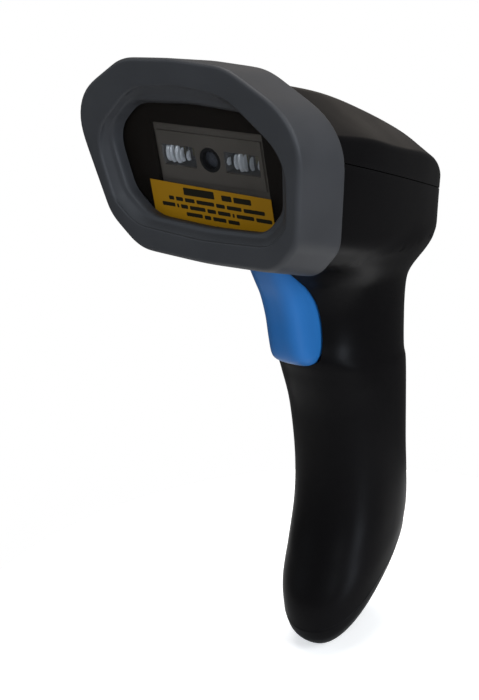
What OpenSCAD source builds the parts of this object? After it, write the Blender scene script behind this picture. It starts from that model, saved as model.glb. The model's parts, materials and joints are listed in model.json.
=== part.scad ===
// Cordless handheld barcode scanner, pistol style.
// +Z runs up the grip, the window looks towards -Y, and X = 0 is the plane of symmetry.
// The origin is under the middle of the object's box, on the surface it would stand on.

/* [Head] */
// Height of the bumper's widest level above the base
face_z = 154.9; // [154.5:0.2:155.3]
// Distance from the origin forward to the bumper's face at that level
face_y = 44.2; // [43.8:0.2:44.6]
// Lean of the bumper's face, its top forward, in degrees
face_lean = 8; // [7:0.5:9]
// Fall of the head's long axis towards the back, in degrees
head_fall = 20; // [19:0.5:21]
// Fall of the bumper's skirt towards the back, in degrees
bezel_fall = 17; // [16.5:0.5:17.5]
// Depth of the bumper, square to its face
bezel_depth = 14.5; // [14:0.1:15]
// Thickness of the bumper's skirt around the housing
skirt = 1.5; // [1.3:0.1:1.6]
// Wall thickness of the housing mouldings
wall = 2.2; // [2:0.1:2.4]
// Level of the cover's parting line, above the head's axis
parting_h = -2.4; // [-3:0.1:-2]

/* [Window] */
// Width of the clear rectangle in front of the scan engine
clear_w = 33.6; // [33:0.2:36]
// Height of the clear rectangle
clear_h = 20; // [19:0.2:21]
// Thickness of the window panel
window_t = 1.4; // [1.2:0.1:1.5]

/* [Trigger] */
// Width of the trigger
trigger_w = 12; // [11:0.2:12.4]
// Side clearance of the trigger in its slot
trigger_gap = 0.5; // [0.4:0.1:0.8]
// Radius of the trigger's pivot pin
pin_r = 1.25; // [1.2:0.05:1.3]
// Position of the pivot pin along Y
pivot_y = -12; // [-12.5:0.5:-11.5]
// Height of the pivot pin
pivot_z = 119; // [118.5:0.5:119.5]

/* [Battery] */
// Radius of the battery cell
cell_r = 9.2; // [9:0.1:9.3]
// Length of the battery cell
cell_len = 65; // [63:0.5:66]

/* [Fasteners] */
// Shank radius of the long cover screws
cover_screw_r = 1.1; // [1:0.05:1.2]
// Shank radius of the small screws
small_screw_r = 0.8; // [0.7:0.05:0.9]

/* [Hidden] */

arc_steps = 3;
grip_points = 28;

// The bumper's outline, right half, from bottom centre to top centre: [x, h, corner radius].
bezel_half = [
  [0, -34.2, 0], [21.0, -33.4, 9], [28.7, -25.4, 10], [34.6, 3.6, 14], [15.3, 15.2, 14], [0, 16.0, 0]
];
// The same outline at the skirt's back edge, which flares.
skirt_half = [
  [0, -34.8, 0], [21.6, -34.0, 9], [29.4, -25.8, 10], [35.4, 3.9, 14], [15.9, 16.4, 14], [0, 17.2, 0]
];
// The outline of the funnel's mouth in the bumper's face.
mouth_half = [
  [0, -28.4, 0], [20.5, -27.2, 9], [26.2, -21.5, 7], [28.9, -4.5, 12], [14.0, 8.4, 14], [0, 9.8, 0]
];
// The outline of the lip around the window.
lip_half = [
  [0, -24.4, 0], [17.5, -23.6, 8], [23.4, -17.2, 7], [25.6, -2.6, 9], [17.0, 4.8, 9], [0, 5.8, 0]
];
// How far the outline slides down the face for each millimetre of depth behind it.
shear = tan(bezel_fall + face_lean);
// Depths behind the face, square to it.
lip_depth = 4.6;
window_depth = 5.9;
frame_depth = window_depth + window_t + 0.1;
frame_t = 2.2;
rim_depth = frame_depth + frame_t + 0.1;

// The head's sections: bottom centre y, z, top centre y, z, then for the lower, side, shoulder
// and top corners: half-width and level, with the level as a share of the section's height.
head_sections = [
  [-33.6, 120.8, -40.2, 167.6, 19.6, 0.020, 27.2, 0.175, 30.8, 0.735, 15.2, 0.982],
  [-24.4, 117.4, -30.9, 164.3, 19.4, 0.020, 27.0, 0.175, 30.8, 0.740, 15.2, 0.982],
  [-12.0, 113.2, -11.0, 158.0, 18.4, 0.020, 26.0, 0.180, 29.8, 0.757, 15.2, 0.982],
  [2.0, 109.2, 6.0, 150.6, 17.2, 0.025, 24.0, 0.190, 26.6, 0.775, 14.6, 0.982],
  [16.0, 106.0, 23.0, 141.8, 15.4, 0.035, 21.0, 0.210, 22.2, 0.835, 13.8, 0.982],
  [26.5, 104.0, 34.4, 134.4, 13.6, 0.045, 18.2, 0.230, 18.2, 0.890, 12.6, 0.982],
  [33.8, 103.8, 40.8, 129.4, 12.2, 0.055, 15.8, 0.250, 15.2, 0.880, 10.8, 0.980],
  [39.2, 105.2, 43.9, 126.2, 10.2, 0.070, 13.2, 0.270, 12.2, 0.850, 8.4, 0.970],
  [42.6, 108.2, 45.2, 123.0, 7.2, 0.090, 9.6, 0.300, 8.6, 0.780, 5.6, 0.940],
  [44.6, 111.8, 45.6, 119.0, 3.4, 0.200, 4.6, 0.380, 4.0, 0.700, 2.6, 0.850]
];
head_radii = [8, 9, 3, 5];

// The grip's sections: front y, z, back y, z, half-width, and the power of the oval.
grip_sections = [
  [-20.0, 119.0, 39.4, 110.5, 19.6, 2.3],
  [-15.0, 111.6, 35.8, 104.0, 17.2, 2.3],
  [-10.0, 106.6, 33.8, 98.6, 15.6, 2.3],
  [-6.6, 101.6, 32.9, 92.6, 14.8, 2.3],
  [-5.1, 96.0, 32.6, 87.0, 14.4, 2.3],
  [-5.0, 91.0, 32.4, 82.6, 14.3, 2.3],
  [-5.8, 86.6, 32.3, 79.4, 14.5, 2.3],
  [-5.2, 83.6, 32.2, 77.4, 15.0, 2.3],
  [-3.6, 79.0, 32.0, 74.0, 15.0, 2.3],
  [-0.8, 68.0, 31.6, 66.0, 14.6, 2.3],
  [0.1, 52.0, 31.3, 55.0, 14.2, 2.3],
  [-1.5, 38.0, 31.5, 48.0, 14.2, 2.3],
  [-5.8, 25.0, 32.1, 42.6, 14.3, 2.3],
  [-9.6, 14.6, 32.1, 38.4, 14.3, 2.3],
  [-9.9, 7.2, 31.2, 34.6, 13.8, 2.3]
];
// The rounded foot below the grip's last section, in the same form.
foot_sections = [
  [-9.9, 7.2, 31.2, 34.6, 13.8, 2.3],
  [-8.8, 3.8, 29.9, 31.6, 12.9, 2.3],
  [-6.2, 1.3, 26.8, 27.6, 10.8, 2.3],
  [-2.6, 0.2, 21.4, 22.8, 7.4, 2.3]
];

// The trigger's sections, in the grip's form.
trigger_sections = [
  [-20.6, 118.0, -6.0, 119.0, 6.0, 3.2],
  [-19.6, 114.6, -3.0, 113.0, 6.0, 3.2],
  [-17.6, 110.0, 1.0, 106.0, 6.0, 3.2],
  [-15.3, 105.0, 2.0, 101.0, 6.0, 3.2],
  [-13.7, 99.0, 2.0, 96.0, 6.0, 3.2],
  [-12.9, 93.0, 2.0, 92.0, 6.0, 3.2],
  [-12.0, 88.6, 1.0, 88.8, 6.0, 3.2],
  [-10.8, 86.6, 0.0, 87.0, 5.7, 3.2],
  [-8.6, 85.2, -2.0, 85.4, 5.0, 3.2]
];

// The clear rectangle's middle, up the face.
clear_level = -13.1;
// Caution strip: its thickness, and its outline, stuck on a little askew and cut to tuck behind the lip.
strip_t = 0.1;
strip_outline = [
  [-18.4, -17.2], [18.2, -17.9], [18.2, -25.8], [16.6, -27.4], [0, -28.2], [-16.6, -27.4], [-18.4, -25.8]
];

// Scan engine: half-width, bottom and top edges up the face, front and back depths.
engine_half = 15.6;
engine_low = -17.2;
engine_high = -5.2;
engine_front = 7.8;
engine_back = 19.5;
lens_level = -11.2;
led_x = 9.5;
led_size = [10, 5];
barrel_r = 3;
// Screws that hold the engine to the front frame: across.
engine_screw_x = 18.6;
// Plate round the engine that fills the frame's clear rectangle: clearance in it, and depth of its front.
engine_plate_gap = 0.2;
engine_plate_front = 8.4;

// Main board: its top surface above the head's axis, its thickness and its outline.
board_top = -8;
board_t = 1.6;
board_outline = [[-18, 41], [18, 41], [18, 50], [12.5, 76], [-12.5, 76], [-18, 50]];
board_posts = [[14, 46.5], [-14, 46.5], [9.6, 71.5], [-9.6, 71.5]];

// Long screws that hold the cover: across, along the head's axis, and the radius of their bosses.
cover_screw_x = 16;
cover_screw_d = 36;
cover_boss_r = 2.9;
// Light pipe in the top of the cover: along the head's axis, radius, and level of its flange.
light_d = 66;
light_r = 1.75;
light_h = 4.6;
// Screws that hold the front frame: across, and up the face.
frame_screw_x = 23.6;
frame_screw_h = -24.5;
// Screws that hold the foot: distance along its flat face, and depth of the seam there.
foot_screws = [[9, 8.3], [28, 5.4]];

// Battery cell: its axis and its lower end.
cell_y = 16.5;
cell_z = 37.5;

// Trigger switch: rear face of the trigger, and the switch's height.
trigger_back = -1.4;
switch_z = 95;
switch_board_y = 3.4;

// Slope of the foot's flat face, and its length.
foot_row = foot_sections[len(foot_sections) - 1];
foot_slope = atan2(foot_row[3] - foot_row[1], foot_row[2] - foot_row[0]);
port_s = 17;
// Pins that locate the charging board: across, and along the foot's flat face.
usb_pin_x = 5.6;
usb_pin_s = 22;

black = [0.07, 0.07, 0.075];
board_green = [0.05, 0.32, 0.16];
steel = [0.72, 0.72, 0.74];

// ---- Small geometry functions ----

function unit(v) = v / norm(v);

function mix(a, b, t) = a + (b - a) * t;

// A smooth curve through the rows of a table, at row position s.
function along(rows, s) =
  let(last = len(rows) - 1)
  let(i = min(floor(s), last - 1))
  let(t = s - i)
  let(p0 = rows[max(i - 1, 0)])
  let(p1 = rows[i])
  let(p2 = rows[i + 1])
  let(p3 = rows[min(i + 2, last)])
  0.5 * (2 * p1 + (p2 - p0) * t + (2 * p0 - 5 * p1 + 4 * p2 - p3) * t * t
    + (3 * p1 - p0 - 3 * p2 + p3) * t * t * t);

// The signed turn from angle a to angle b, between -180 and 180 degrees.
function turn(a, b) = (b - a + 540) % 360 - 180;

// Points that round the corner q between p and s.
function rounded(p, q, s, radius, steps) =
  let(a = unit(p - q))
  let(b = unit(s - q))
  let(half = acos(max(-1, min(1, a * b))) / 2)
  let(reach = min(radius / tan(half), 0.47 * norm(p - q), 0.47 * norm(s - q)))
  let(centre = q + unit(a + b) * (reach / cos(half)))
  let(from = q + a * reach - centre)
  let(to = q + b * reach - centre)
  let(start = atan2(from.y, from.x))
  let(sweep = turn(start, atan2(to.y, to.x)))
  [for (i = [0:steps]) let(t = start + sweep * i / steps) centre + norm(from) * [cos(t), sin(t)]];

// A half outline of [x, h, radius] corners, rounded, from bottom centre to top centre.
function half_outline(corners) =
  let(last = len(corners) - 1)
  let(xy = [for (c = corners) [c.x, c.y]])
  concat(
    [xy[0]],
    [for (i = [1:last - 1]) each rounded(xy[i - 1], xy[i], xy[i + 1], corners[i][2], arc_steps)],
    [xy[last]]
  );

// The whole outline, from a half: up the right side and down the left.
function whole_outline(half) =
  let(last = len(half) - 1)
  concat(half, [for (i = [last - 1:-1:1]) [-half[i].x, half[i].y]]);

// An outline drawn in by the amount inset on every side.
function drawn_in(ring, inset) =
  let(w = max([for (p = ring) p.x]))
  let(low = min([for (p = ring) p.y]))
  let(high = max([for (p = ring) p.y]))
  [for (p = ring) [
    p.x * (w - inset) / w,
    low + inset + (p.y - low) * (high - low - 2 * inset) / (high - low)
  ]];

// A ring of [x, h] points placed behind the face at a depth, sliding down with the head's axis.
function face_ring(ring, depth) = [for (p = ring) [p.x, depth, p.y - shear * depth]];

// A ring of [x, v] points on the section line from [y, z] point a to point b.
// The ring moves square to its plane by shift.
function section_ring(ring, a, b, shift = 0) =
  let(u = unit(b - a))
  [for (p = ring) [p.x, a.x + u.x * p.y + u.y * shift, a.y + u.y * p.y - u.x * shift]];

function head_ring(row, inset, shift = 0) =
  let(a = [row[0], row[1]])
  let(b = [row[2], row[3]])
  let(h = norm(b - a))
  let(corners = concat(
    [[0, 0, 0]],
    [for (k = [0:3]) [row[4 + 2 * k], row[5 + 2 * k] * h, head_radii[k]]],
    [[0, h, 0]]
  ))
  section_ring(drawn_in(whole_outline(half_outline(corners)), inset), a, b, shift);

function signed_power(v, n) = sign(v) * pow(abs(v), n);

function grip_ring(row, inset, shift = 0) =
  let(a = [row[0], row[1]])
  let(b = [row[2], row[3]])
  let(h = norm(b - a) / 2)
  let(n = 2 / row[5])
  section_ring(
    [for (i = [0:grip_points - 1]) let(t = 360 * i / grip_points - 90) [
      (row[4] - inset) * signed_power(cos(t), n),
      h + (h - inset) * signed_power(sin(t), n)
    ]],
    a, b, shift
  );

function flat_list(rings) = [for (r = rings) each r];

// A solid through rings of equal size, with flat ends. The rings go from the back of the head
// forwards, from the foot upwards, or from inside the head out through its face.
module loft(rings) {
  count = len(rings[0]);
  last = len(rings) - 1;
  polyhedron(
    points = flat_list(rings),
    faces = concat(
      [[for (i = [0:count - 1]) i]],
      [for (k = [0:last - 1]) for (i = [0:count - 1]) let(j = (i + 1) % count) each [
        [k * count + i, (k + 1) * count + i, (k + 1) * count + j],
        [k * count + i, (k + 1) * count + j, k * count + j]
      ]],
      [[for (i = [count - 1:-1:0]) last * count + i]]
    ),
    convexity = 8
  );
}

// A solid through rings of equal size, whose last ring joins the first.
module looped_loft(rings) {
  count = len(rings[0]);
  rows = len(rings);
  polyhedron(
    points = flat_list(rings),
    faces = [for (k = [0:rows - 1]) for (i = [0:count - 1])
      let(j = (i + 1) % count)
      let(m = (k + 1) % rows)
      each [
        [k * count + i, m * count + i, m * count + j],
        [k * count + i, m * count + j, k * count + j]
      ]],
    convexity = 8
  );
}

// ---- Frames that the parts are placed in ----

// x across, y into the head square to the bumper's face, z up the face.
module in_face(x = 0, depth = 0, h = 0) {
  translate([0, -face_y, face_z])
    rotate([face_lean, 0, 0])
      translate([x, depth, h])
        children();
}

// x across, y back along the head's axis, z square to it.
module in_head(x = 0, d = 0, h = 0) {
  translate([0, -face_y, face_z])
    rotate([-head_fall, 0, 0])
      translate([x, d, h])
        children();
}

// x across, y back and up along the foot's flat face, z square into the foot.
module in_foot(x = 0, s = 0, h = 0) {
  translate([0, foot_row[0], foot_row[1]])
    rotate([foot_slope, 0, 0])
      translate([x, s, h])
        children();
}

// A cylinder along y, from its front end.
module rod_y(r, length) {
  rotate([-90, 0, 0])
    cylinder(r = r, h = length, $fn = 48);
}

// A cylinder along x, centred on x = 0.
module rod_x(r, length) {
  rotate([0, 90, 0])
    cylinder(r = r, h = length, center = true, $fn = 48);
}

// A smooth wire through a list of points, which never runs along side.
module wire(points, r, side = [0, 1, 0]) {
  facets = 8;
  last = len(points) - 1;
  loft([
    for (s = [0:0.5:last])
      let(
        middle = along(points, s),
        way = unit(along(points, min(last, s + 0.1)) - along(points, max(0, s - 0.1))),
        across = unit(cross(side, way)),
        over = cross(way, across)
      )
      [for (i = [0:facets - 1]) middle + r * (cos(360 * i / facets) * across + sin(360 * i / facets) * over)]
  ]);
}

// A screw whose head sits on z = 0 and whose shank runs along +z.
module screw(shank_r, shank_len, head_r, head_t) {
  difference() {
    union() {
      translate([0, 0, -head_t])
        cylinder(r = head_r, h = head_t, $fn = 32);
      cylinder(r = shank_r, h = shank_len, $fn = 32);
    }
    for (a = [0, 90])
      rotate([0, 0, a])
        translate([-head_r * 0.6, -0.2, -head_t - 1])
          cube([head_r * 1.2, 0.4, 1 + head_t / 2]);
  }
}

// ---- The housing's surfaces ----

module head_outside() {
  loft([for (s = [9:-0.5:0]) head_ring(along(head_sections, s), 0)]);
}

// The head drawn in a little, which trims the ends of posts and bosses.
module head_core() {
  loft([for (s = [9:-1:0]) head_ring(along(head_sections, s), 0.6)]);
}

module head_inside() {
  loft(concat(
    [for (s = [8:-1:1]) head_ring(along(head_sections, s), wall)],
    [head_ring(head_sections[0], wall, -2)]
  ));
}

module grip_outside() {
  loft([for (s = [14:-0.5:0]) grip_ring(along(grip_sections, s), 0)]);
}

// The grip drawn in a little and carried on below its seam, which trims what is fitted inside.
module grip_core() {
  loft(concat(
    [grip_ring(grip_sections[14], 0.6, 3)],
    [for (s = [14:-1:0]) grip_ring(along(grip_sections, s), 0.6)]
  ));
}

module grip_inside() {
  loft(concat(
    [grip_ring(grip_sections[14], wall, 1)],
    [for (s = [14:-1:0]) grip_ring(along(grip_sections, s), wall)]
  ));
}

// Everything above the cover's parting line, raised by a gap.
module above_parting(gap) {
  in_head(-60, -40, parting_h + gap)
    cube([120, 180, 80]);
}

// Everything in front of the housing's rim.
module before_rim() {
  in_face(-60, -60, -80)
    cube([120, 60 + rim_depth, 160]);
}

// ---- Front of the head ----

module front_bezel() {
  outer = whole_outline(half_outline(bezel_half));
  mouth = whole_outline(half_outline(mouth_half));
  lip = whole_outline(half_outline(lip_half));
  flared = whole_outline(half_outline(skirt_half));
  rows = [
    face_ring(drawn_in(flared, skirt), bezel_depth),
    face_ring(drawn_in(flared, 0.4), bezel_depth),
    face_ring(flared, bezel_depth - 0.5),
    face_ring(outer, 0.9),
    face_ring(drawn_in(outer, 0.25), 0.25),
    face_ring(drawn_in(outer, 0.9), 0),
    face_ring(mouth, 0),
    face_ring(drawn_in(mouth, 0.9), 0.6),
    face_ring([for (i = [0:len(mouth) - 1]) mix(mouth[i], lip[i], 0.55)], 2.2),
    face_ring([for (i = [0:len(mouth) - 1]) mix(mouth[i], lip[i], 0.80)], 2.7),
    face_ring(lip, lip_depth),
    face_ring(lip, window_depth - 0.15),
    face_ring(drawn_in(outer, skirt + 0.9), window_depth - 0.15),
    face_ring(drawn_in(outer, skirt), window_depth + 0.6)
  ];
  color([0.26, 0.26, 0.27]) {
    in_face()
      looped_loft(rows);
    for (side = [0, 1])
      mirror([side, 0, 0])
        in_head(7.6, 26, -29.7)
          cube([4.6, 11.5, 1]);
  }
}

// The window's outline: the lip's, with a margin that tucks behind the lip.
function window_outline(margin) = drawn_in(whole_outline(half_outline(lip_half)), -margin);

module window_solid(margin, front, back) {
  in_face()
    loft([face_ring(window_outline(margin), back), face_ring(window_outline(margin), front)]);
}

module window_panel() {
  color([0.08, 0.07, 0.07, 0.5])
    window_solid(2.2, window_depth, window_depth + window_t);
}

module caution_strip() {
  color([0.85, 0.68, 0.08])
    in_face(0, window_depth - 0.02, 0)
      rotate([90, 0, 0])
        linear_extrude(height = strip_t)
          polygon(strip_outline);
}

module front_frame() {
  edge = drawn_in(whole_outline(half_outline(bezel_half)), skirt + 0.3);
  color([0.10, 0.095, 0.09])
    difference() {
      in_face()
        loft([face_ring(edge, frame_depth + frame_t), face_ring(edge, window_depth + 0.75)]);
      window_solid(2.35, window_depth - 1, frame_depth);
      in_face(-clear_w / 2, window_depth, clear_level - clear_h / 2)
        cube([clear_w, frame_t + 6, clear_h]);
      for (x = [-frame_screw_x, frame_screw_x]) {
        in_face(x, window_depth - 1, frame_screw_h)
          rod_y(small_screw_r + 0.05, frame_t + 6);
        in_face(x, window_depth - 1, frame_screw_h)
          rod_y(1.65, frame_depth - window_depth + 2.1);
      }
      for (x = [-engine_screw_x, engine_screw_x])
        in_face(x, frame_depth + 0.6, lens_level)
          rod_y(small_screw_r + 0.03, 5);
    }
}

// ---- Housing ----

// The slot that the trigger stands in, with rounded lower corners.
module trigger_slot() {
  half = trigger_w / 2 + trigger_gap;
  corner_r = 2.6;
  depth = 21.8;
  translate([0, -21.8, 84.7]) {
    translate([-half, 0, corner_r])
      cube([2 * half, depth, 36 - corner_r]);
    translate([corner_r - half, 0, 0])
      cube([2 * (half - corner_r), depth, 36]);
    for (x = [corner_r - half, half - corner_r])
      translate([x, 0, corner_r])
        rod_y(corner_r, depth);
  }
}

// The two ears that hold the pivot pin, standing on the head's floor.
module pivot_ears() {
  for (x = [-8.2, 8.2])
    translate([x, pivot_y, pivot_z]) {
      rod_x(3.6, 3);
      translate([-1.5, -3.6, -5.2])
        cube([3, 7.2, 5.2]);
    }
}

// Rails that hold the switch's board by its side edges.
module switch_rails() {
  for (side = [0, 1], y = [switch_board_y - 1.4, switch_board_y + 1.3])
    mirror([side, 0, 0])
      translate([8.5, y, 85])
        cube([2.7, 1.3, 18]);
}

module cover_bosses() {
  intersection() {
    head_core();
    for (x = [-cover_screw_x, cover_screw_x])
      in_head(x, cover_screw_d, -30)
        cylinder(r = cover_boss_r, h = 29.8 + parting_h, $fn = 40);
  }
}

module frame_bosses() {
  for (x = [-frame_screw_x, frame_screw_x])
    in_face(x, rim_depth, frame_screw_h)
      rod_y(3, 7);
}

module foot_bosses() {
  for (p = foot_screws)
    in_foot(0, p.x, p.y + 0.3)
      cylinder(r = 2.5, h = 7, $fn = 40);
  in_foot(-1, 2.6, foot_screws[0].y + 4)
    cube([2, 5, 3.3]);
  in_foot(-12.4, foot_screws[1].x - 1, foot_screws[1].y + 3.2)
    cube([24.8, 2, 4.1]);
}

module main_housing() {
  color(black)
    difference() {
      union() {
        difference() {
          union() {
            head_outside();
            grip_outside();
          }
          head_inside();
          grip_inside();
          above_parting(0);
          before_rim();
        }
        intersection() {
          union() {
            head_core();
            grip_core();
          }
          union() {
            pivot_ears();
            switch_rails();
            foot_bosses();
          }
        }
        cover_bosses();
        frame_bosses();
      }
      trigger_slot();
      translate([0, pivot_y, pivot_z])
        rod_x(pin_r + 0.03, 40);
      for (x = [-cover_screw_x, cover_screw_x]) {
        in_head(x, cover_screw_d, -40)
          cylinder(r = 2.3, h = 16, $fn = 40);
        in_head(x, cover_screw_d, -40)
          cylinder(r = cover_screw_r + 0.1, h = 50, $fn = 40);
      }
      for (x = [-frame_screw_x, frame_screw_x])
        in_face(x, rim_depth - 1, frame_screw_h)
          rod_y(small_screw_r + 0.03, 7.5);
      for (p = foot_screws)
        in_foot(0, p.x, p.y)
          cylinder(r = small_screw_r + 0.03, h = 4.6, $fn = 40);
    }
}

module top_cover() {
  color(black)
    difference() {
      union() {
        difference() {
          head_outside();
          head_inside();
          before_rim();
          in_head(-60, -40, parting_h + 0.1 - 100)
            cube([120, 180, 100]);
        }
        intersection() {
          head_core();
          union() {
            for (x = [-cover_screw_x, cover_screw_x])
              in_head(x, cover_screw_d, parting_h + 0.1)
                cylinder(r = cover_boss_r, h = 20, $fn = 40);
            for (p = board_posts)
              in_head(p.x, p.y, board_top)
                cylinder(r = 2.2, h = 30, $fn = 32);
          }
        }
      }
      for (x = [-cover_screw_x, cover_screw_x])
        in_head(x, cover_screw_d, parting_h - 1)
          cylinder(r = cover_screw_r + 0.03, h = 9, $fn = 40);
      for (p = board_posts)
        in_head(p.x, p.y, board_top - 1)
          cylinder(r = small_screw_r + 0.03, h = 6, $fn = 32);
      in_head(0, light_d, 0)
        cylinder(r = light_r + 0.1, h = 20, $fn = 32);
    }
}

module status_light_pipe() {
  color([0.85, 0.9, 0.95])
    in_head(0, light_d, light_h) {
      cylinder(r = light_r, h = 6.0, $fn = 32);
      cylinder(r = light_r + 0.95, h = 1.6, $fn = 32);
    }
}

module bottom_cap() {
  color(black)
    difference() {
      union() {
        difference() {
          loft([for (s = [3:-0.5:0]) grip_ring(along(foot_sections, s), 0, s == 0 ? 0.1 : 0)]);
          loft([
            grip_ring(foot_sections[3], 1.6, -2),
            grip_ring(foot_sections[2], wall, -0.6),
            grip_ring(foot_sections[1], wall),
            grip_ring(foot_sections[0], wall + 1.6),
            grip_ring(along(grip_sections, 13.6), wall + 1.6)
          ]);
        }
        difference() {
          loft([
            grip_ring(foot_sections[1], wall - 0.4),
            grip_ring(foot_sections[0], wall + 0.3),
            grip_ring(along(grip_sections, 13.7), wall + 0.8)
          ]);
          loft([
            grip_ring(foot_sections[1], wall + 1.4, 1),
            grip_ring(foot_sections[0], wall + 1.6),
            grip_ring(along(grip_sections, 13.5), wall + 1.6)
          ]);
        }
        for (p = foot_screws)
          in_foot(0, p.x, 1)
            cylinder(r = 2.4, h = p.y - 0.9, $fn = 40);
        for (x = [-usb_pin_x, usb_pin_x])
          in_foot(x, usb_pin_s, 1) {
            cylinder(r = 1.5, h = 5, $fn = 24);
            cylinder(r = 0.7, h = 6.6, $fn = 24);
          }
      }
      for (p = foot_screws) {
        in_foot(0, p.x, -1)
          cylinder(r = 2, h = 2.6, $fn = 40);
        in_foot(0, p.x, -1)
          cylinder(r = small_screw_r + 0.1, h = p.y + 3, $fn = 40);
      }
      in_foot(-4, port_s - 1.6, -1)
        cube([8, 3.2, 5]);
    }
}

// ---- Scan engine ----

module engine_chassis() {
  plate_w = clear_w - 2 * engine_plate_gap;
  plate_h = clear_h - 2 * engine_plate_gap;
  color([0.23, 0.21, 0.19])
    difference() {
      union() {
        in_face(-engine_half, engine_front, engine_low)
          cube([2 * engine_half, engine_back - engine_front, engine_high - engine_low]);
        for (x = [-engine_screw_x, engine_screw_x])
          in_face(x - 2.2, rim_depth, lens_level - 2.2)
            cube([4.4, 1.6, 4.4]);
        in_face(-plate_w / 2, engine_plate_front, clear_level - plate_h / 2)
          cube([plate_w, rim_depth + 1.6 - engine_plate_front, plate_h]);
      }
      for (x = [-led_x, led_x])
        in_face(x - led_size.x / 2 - 0.1, engine_front - 1, lens_level - led_size.y / 2 - 0.1)
          cube([led_size.x + 0.2, 5.6, led_size.y + 0.2]);
      in_face(0, engine_front - 1, lens_level)
        rod_y(barrel_r + 0.05, 9);
      in_face(-3.6, engine_front + 7.4, lens_level - 3)
        cube([7.2, 6, 6]);
      for (x = [-engine_screw_x, engine_screw_x])
        in_face(x, engine_front, lens_level)
          rod_y(small_screw_r + 0.05, 6);
    }
}

module lens_barrel() {
  color([0.05, 0.05, 0.05])
    in_face(0, engine_front - 0.1, lens_level)
      difference() {
        rod_y(barrel_r, 7.4);
        translate([0, -1, 0])
          rod_y(1.5, 10);
        translate([0, -1, 0])
          rod_y(2.3, 3.4);
      }
}

module engine_lens() {
  color([0.25, 0.27, 0.33, 0.6])
    in_face(0, engine_front - 0.1, lens_level)
      intersection() {
        translate([0, 0.8, 0])
          rod_y(2.27, 1.55);
        translate([0, 6.1, 0])
          sphere(r = 5.2, $fn = 48);
      }
}

// A light lens: a bar with a convex front, as wide as the pocket it sits in.
module led_lens(x) {
  in_face(x, engine_front - 0.2, lens_level)
    intersection() {
      translate([-led_size.x / 2, 0, -led_size.y / 2])
        cube([led_size.x, 3.2, led_size.y]);
      translate([0, 5, 0])
        rod_x(5, led_size.x + 2);
    }
}

module led_lens_left() {
  color([0.9, 0.92, 0.95, 0.5])
    led_lens(-led_x);
}

module led_lens_right() {
  color([0.9, 0.92, 0.95, 0.5])
    led_lens(led_x);
}

module led_emitters() {
  color([0.95, 0.85, 0.4])
    for (x = [-led_x - 2.2, -led_x + 2.2, led_x - 2.2, led_x + 2.2])
      in_face(x - 1.2, engine_front + 3.7, lens_level - 1.2)
        cube([2.4, 0.85, 2.4]);
}

module image_sensor() {
  color([0.1, 0.12, 0.2])
    in_face(-3.2, engine_back - 1.1, lens_level - 2.6)
      cube([6.4, 1.05, 5.2]);
}

module engine_board() {
  color(board_green)
    in_face(-engine_half, engine_back + 0.05, engine_low)
      cube([2 * engine_half, 1.2, engine_high - engine_low]);
}

// The flat cable from the engine's board down to the main board.
module engine_ribbon() {
  path = [[-21.15, 142.0], [-17.0, 141.9], [-11.0, 140.6], [-7.5, 138.0], [-6.4, 135.0], [-6.2, 133.8]];
  t = 0.15;
  upper = [for (p = path) [p.x + t * 0.6, p.y + t]];
  lower = [for (i = [len(path) - 1:-1:0]) [path[i].x - t * 0.6, path[i].y - t]];
  color([0.75, 0.45, 0.15])
    translate([-6, 0, 0])
      rotate([90, 0, 90])
        linear_extrude(height = 12)
          polygon(concat(upper, lower));
}

// ---- Main board and what it carries ----

module main_board() {
  color(board_green)
    in_head(0, 0, board_top - board_t)
      difference() {
        linear_extrude(height = board_t - 0.05)
          polygon(board_outline);
        for (p = board_posts)
          translate([p.x, p.y, -1])
            cylinder(r = small_screw_r + 0.1, h = board_t + 2, $fn = 32);
      }
}

module processor_chips() {
  color([0.09, 0.09, 0.1]) {
    in_head(-4.5, 49.5, board_top - 0.05)
      cube([9, 9, 1.1]);
    in_head(7, 52, board_top - 0.05)
      cube([5, 6, 1]);
    in_head(-11.5, 53, board_top - 0.05)
      cube([4.4, 4.4, 0.9]);
  }
}

module radio_module() {
  color(steel)
    in_head(-6, 61, board_top - 0.05)
      cube([12, 8, 2]);
}

module ribbon_socket() {
  color([0.9, 0.88, 0.8])
    in_head(-7, 43, board_top - 0.05)
      cube([14, 3.4, 1.6]);
}

module buzzer() {
  color([0.12, 0.12, 0.12])
    in_head(-5.6, 57, board_top - board_t - 3.25)
      difference() {
        cylinder(r = 5, h = 3.2, $fn = 48);
        translate([0, 0, -1])
          cylinder(r = 0.9, h = 2.4, $fn = 24);
      }
}

module battery_socket() {
  color([0.92, 0.9, 0.84])
    in_head(4, 55, board_top - board_t - 4.05)
      cube([7, 6, 4]);
}

module battery_plug() {
  color([0.92, 0.9, 0.84])
    in_head(4.6, 55.6, board_top - board_t - 7.1)
      cube([5.8, 4.8, 3]);
}

// ---- Trigger ----

module trigger() {
  color([0.12, 0.36, 0.68])
    difference() {
      union() {
        intersection() {
          loft([for (s = [8:-0.5:0]) grip_ring(along(trigger_sections, s), 0)]);
          translate([-20, -40, 60])
            cube([40, 40 + trigger_back, 80]);
        }
        translate([0, pivot_y, pivot_z])
          rod_x(3.6, trigger_w - 0.4);
      }
      translate([0, pivot_y, pivot_z])
        rod_x(pin_r + 0.06, 30);
    }
}

module trigger_pivot_pin() {
  color(steel)
    translate([0, pivot_y, pivot_z])
      rod_x(pin_r, 26);
}

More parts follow.
